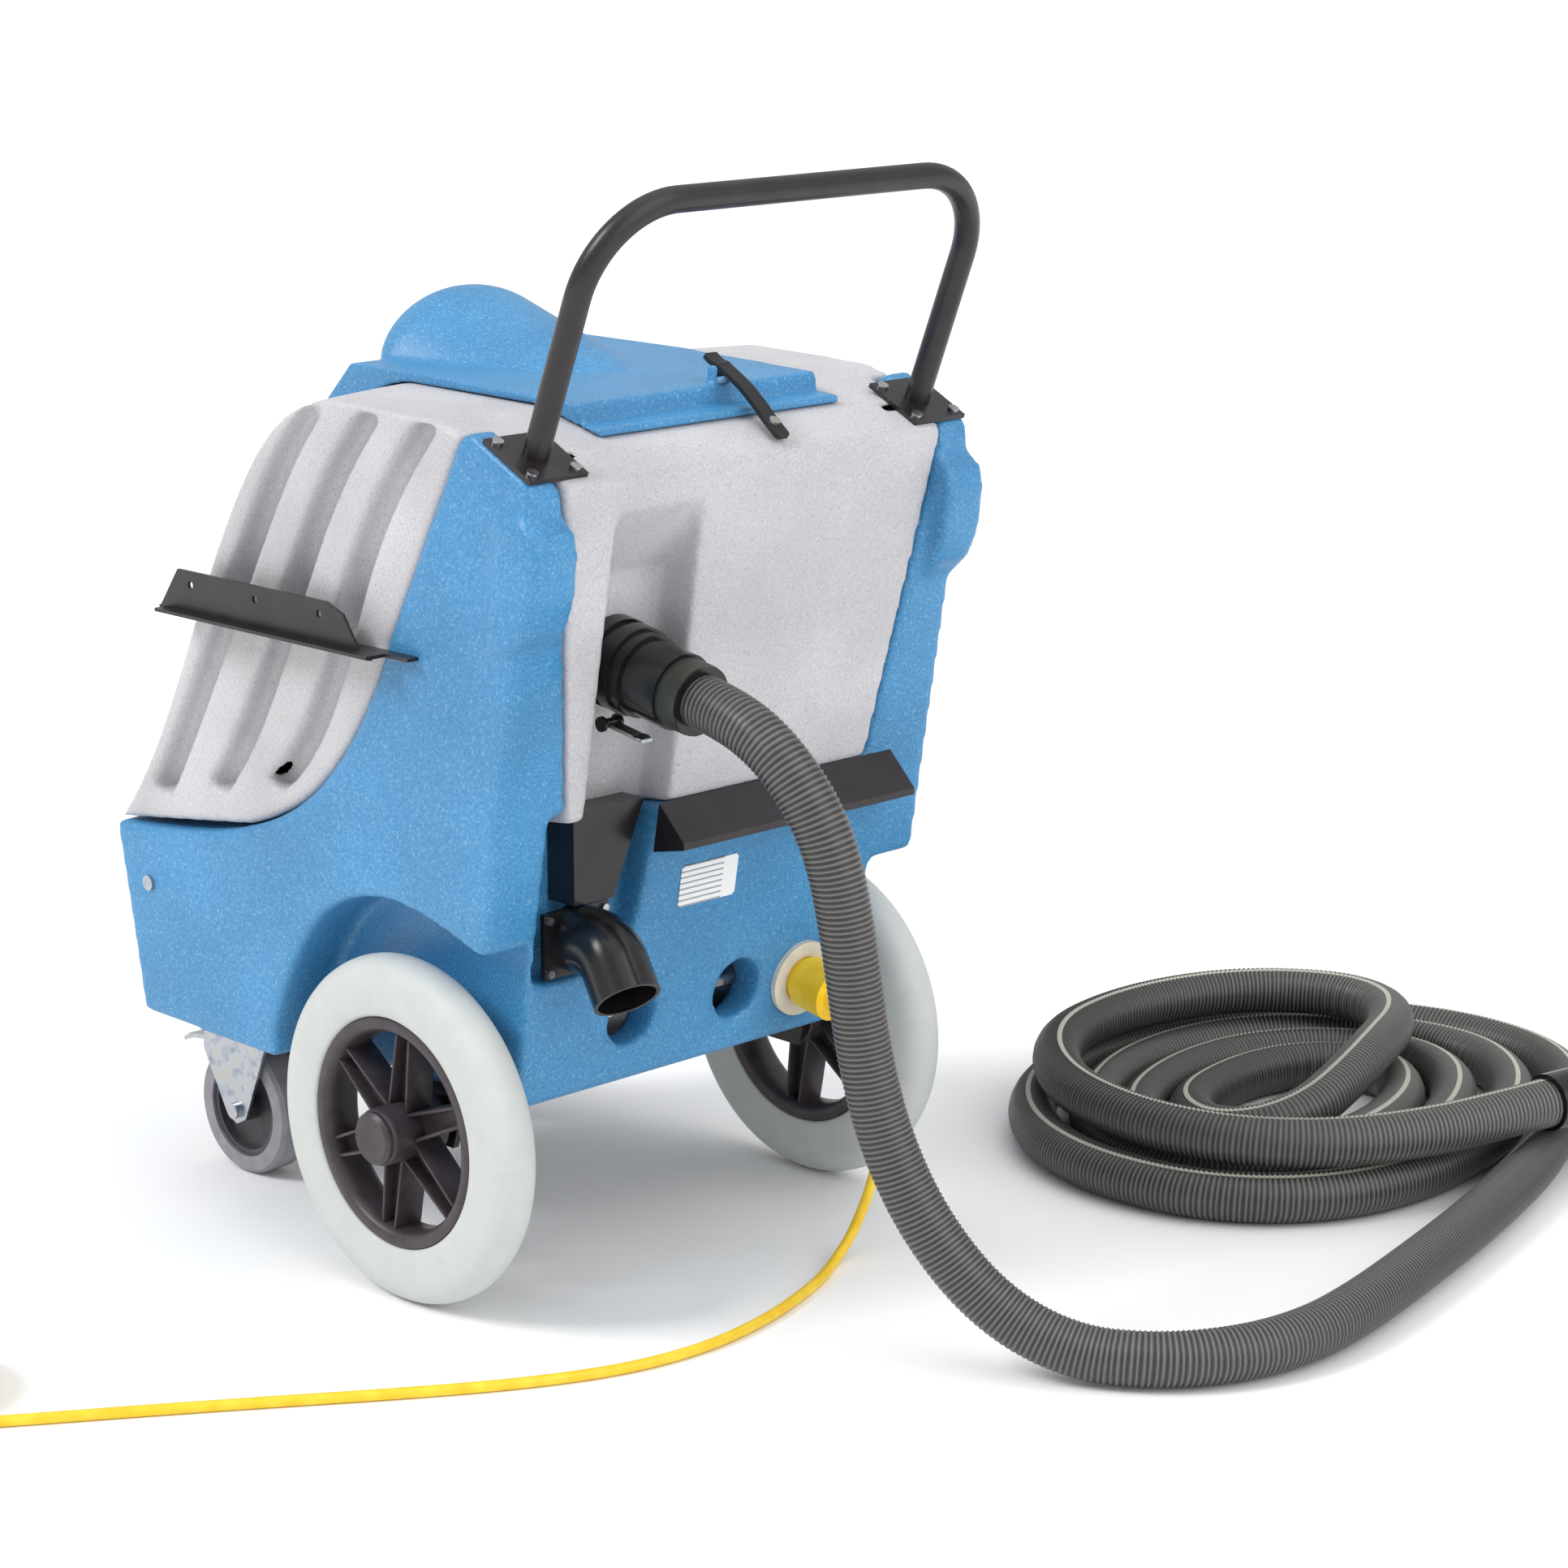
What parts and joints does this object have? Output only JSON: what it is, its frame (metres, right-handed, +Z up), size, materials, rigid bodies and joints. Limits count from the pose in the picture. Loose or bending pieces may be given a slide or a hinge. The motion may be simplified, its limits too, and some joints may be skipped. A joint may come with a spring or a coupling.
{
  "type": "carpet cleaner machine",
  "caption": "Walk-behind box extractor for carpets: lidded recovery tank cradled in a wheeled solution tank, with push handle, hose and lead.",
  "frame": {"origin": "on the floor, at the middle of the machine's length and width without its hose and lead", "axes": "+Z up, +Y the way the machine rolls, towards the casters, +X the machine's right"},
  "size_m": [1.762, 1.1011, 0.9587],
  "materials": {
    "blue_polyethylene": "rotomoulded polyethylene, speckled sky blue",
    "grey_polyethylene": "rotomoulded polyethylene, speckled warm grey",
    "black_powder_coat": "black-brown powder coat on steel",
    "black_abs": "black moulded plastic",
    "grey_tyre": "non-marking grey rubber",
    "zinc_steel": "bright zinc-plated steel",
    "nylon": "dark nylon",
    "black_rubber": "black rubber",
    "hose_vinyl": "ribbed grey vinyl",
    "yellow_vinyl": "yellow vinyl jacket",
    "cast_aluminium": "cast aluminium",
    "brass_fitting": "turned brass",
    "ivory_nylon": "ivory nylon",
    "rocker_plastic": "black rocker plastic"
  },
  "bodies": {
    "root": {"accessory_bracket": "black_powder_coat", "axle_bracket": "black_powder_coat", "case_screws": "zinc_steel", "caster_plate_left": "zinc_steel", "caster_plate_right": "zinc_steel", "caster_rail": "black_powder_coat", "drain_elbow": "black_abs", "drain_valve_body": "black_abs", "handle_screws": "zinc_steel", "hinge_leaf_tank": "black_abs", "hinge_pin": "zinc_steel", "hose_coil": "hose_vinyl", "hose_coupler": "black_abs", "hose_end_cuff": "black_abs", "inlet_spigot": "black_abs", "lead_coil": "yellow_vinyl", "lead_connector": "yellow_vinyl", "lead_plug": "yellow_vinyl", "motor_deck": "zinc_steel", "power_inlet": "ivory_nylon", "power_lead": "yellow_vinyl", "push_handle": "black_powder_coat", "rear_axle": "zinc_steel", "recovery_tank": "grey_polyethylene", "solution_outlet": "brass_fitting", "solution_pump": "cast_aluminium", "solution_tank": "blue_polyethylene", "support_shelf": "black_powder_coat", "switch_panel": "black_abs", "vacuum_hose": "hose_vinyl", "vacuum_motors": "cast_aluminium", "vacuum_standpipe": "nylon"},
    "wheel_left": {"tyre_left": "grey_tyre", "hub_left": "black_abs", "hub_bush_left": "nylon", "hub_cap_left": "black_abs"},
    "wheel_right": {"tyre_right": "grey_tyre", "hub_right": "black_abs", "hub_bush_right": "nylon", "hub_cap_right": "black_abs"},
    "lid": {"recovery_lid": "blue_polyethylene", "hinge_leaf_lid": "black_abs", "lid_gasket": "black_rubber"},
    "latch": {"latch_strap": "black_rubber", "latch_button": "zinc_steel"},
    "hose_latch": {"hose_latch_lever": "zinc_steel"},
    "float": {"float_ball": "nylon"},
    "caster_left": {"caster_fork_left": "zinc_steel", "caster_bolts_left": "zinc_steel"},
    "caster_wheel_left": {"caster_tread_left": "grey_tyre", "caster_core_left": "nylon"},
    "brake_left": {"brake_pedal_left": "zinc_steel"},
    "caster_right": {"caster_fork_right": "zinc_steel", "caster_bolts_right": "zinc_steel"},
    "caster_wheel_right": {"caster_tread_right": "grey_tyre", "caster_core_right": "nylon"},
    "brake_right": {"brake_pedal_right": "zinc_steel"},
    "switch_vacuum_one": {"switch_vacuum_one": "rocker_plastic"},
    "switch_vacuum_two": {"switch_vacuum_two": "rocker_plastic"},
    "switch_pump": {"switch_pump": "rocker_plastic"}
  },
  "joints": [
    {"name": "wheel_left_spin", "type": "hinge", "parent": "root", "child": "wheel_left", "pos_m": [-0.2435, -0.102, 0.1525], "axis": [1, 0, 0], "continuous": true},
    {"name": "wheel_right_spin", "type": "hinge", "parent": "root", "child": "wheel_right", "pos_m": [0.2435, -0.102, 0.1525], "axis": [1, 0, 0], "continuous": true},
    {"name": "caster_left_swivel", "type": "hinge", "parent": "root", "child": "caster_left", "pos_m": [-0.13, 0.22, 0.14], "axis": [0, 0, 1], "continuous": true},
    {"name": "caster_left_spin", "type": "hinge", "parent": "caster_left", "child": "caster_wheel_left", "pos_m": [-0.13, 0.26, 0.0625], "axis": [1, 0, 0], "continuous": true},
    {"name": "brake_left_press", "type": "hinge", "parent": "caster_left", "child": "brake_left", "pos_m": [-0.13, 0.3, 0.12], "axis": [1, 0, 0], "range_deg": [-12, 0], "stiffness_Nm_per_rad": 0.5, "springref_deg": 11.46},
    {"name": "caster_right_swivel", "type": "hinge", "parent": "root", "child": "caster_right", "pos_m": [0.13, 0.22, 0.14], "axis": [0, 0, 1], "continuous": true},
    {"name": "caster_right_spin", "type": "hinge", "parent": "caster_right", "child": "caster_wheel_right", "pos_m": [0.13, 0.26, 0.0625], "axis": [1, 0, 0], "continuous": true},
    {"name": "brake_right_press", "type": "hinge", "parent": "caster_right", "child": "brake_right", "pos_m": [0.13, 0.3, 0.12], "axis": [1, 0, 0], "range_deg": [-12, 0], "stiffness_Nm_per_rad": 0.5, "springref_deg": 11.46},
    {"name": "lid_open", "type": "hinge", "parent": "root", "child": "lid", "pos_m": [0, 0.147, 0.706], "axis": [1, 0, 0], "range_deg": [-100, 0]},
    {"name": "latch_swing", "type": "hinge", "parent": "lid", "child": "latch", "pos_m": [0.03, -0.205, 0.785], "axis": [1, 0, 0], "range_deg": [-65, 0]},
    {"name": "hose_latch_open", "type": "hinge", "parent": "root", "child": "hose_latch", "pos_m": [-0.132, -0.23891, 0.51121], "axis": [1, 0, 0], "range_deg": [0, 75]},
    {"name": "float_rise", "type": "slide", "parent": "root", "child": "float", "axis": [0, 0, 1], "range_m": [0, 0.03]},
    {"name": "switch_vacuum_one_tip", "type": "hinge", "parent": "root", "child": "switch_vacuum_one", "pos_m": [-0.046, 0.31165, 0.26869], "axis": [1, 0, 0], "range_deg": [0, 8]},
    {"name": "switch_vacuum_two_tip", "type": "hinge", "parent": "root", "child": "switch_vacuum_two", "pos_m": [0, 0.31165, 0.26869], "axis": [1, 0, 0], "range_deg": [0, 8]},
    {"name": "switch_pump_tip", "type": "hinge", "parent": "root", "child": "switch_pump", "pos_m": [0.046, 0.31165, 0.26869], "axis": [1, 0, 0], "range_deg": [0, 8]}
  ]
}
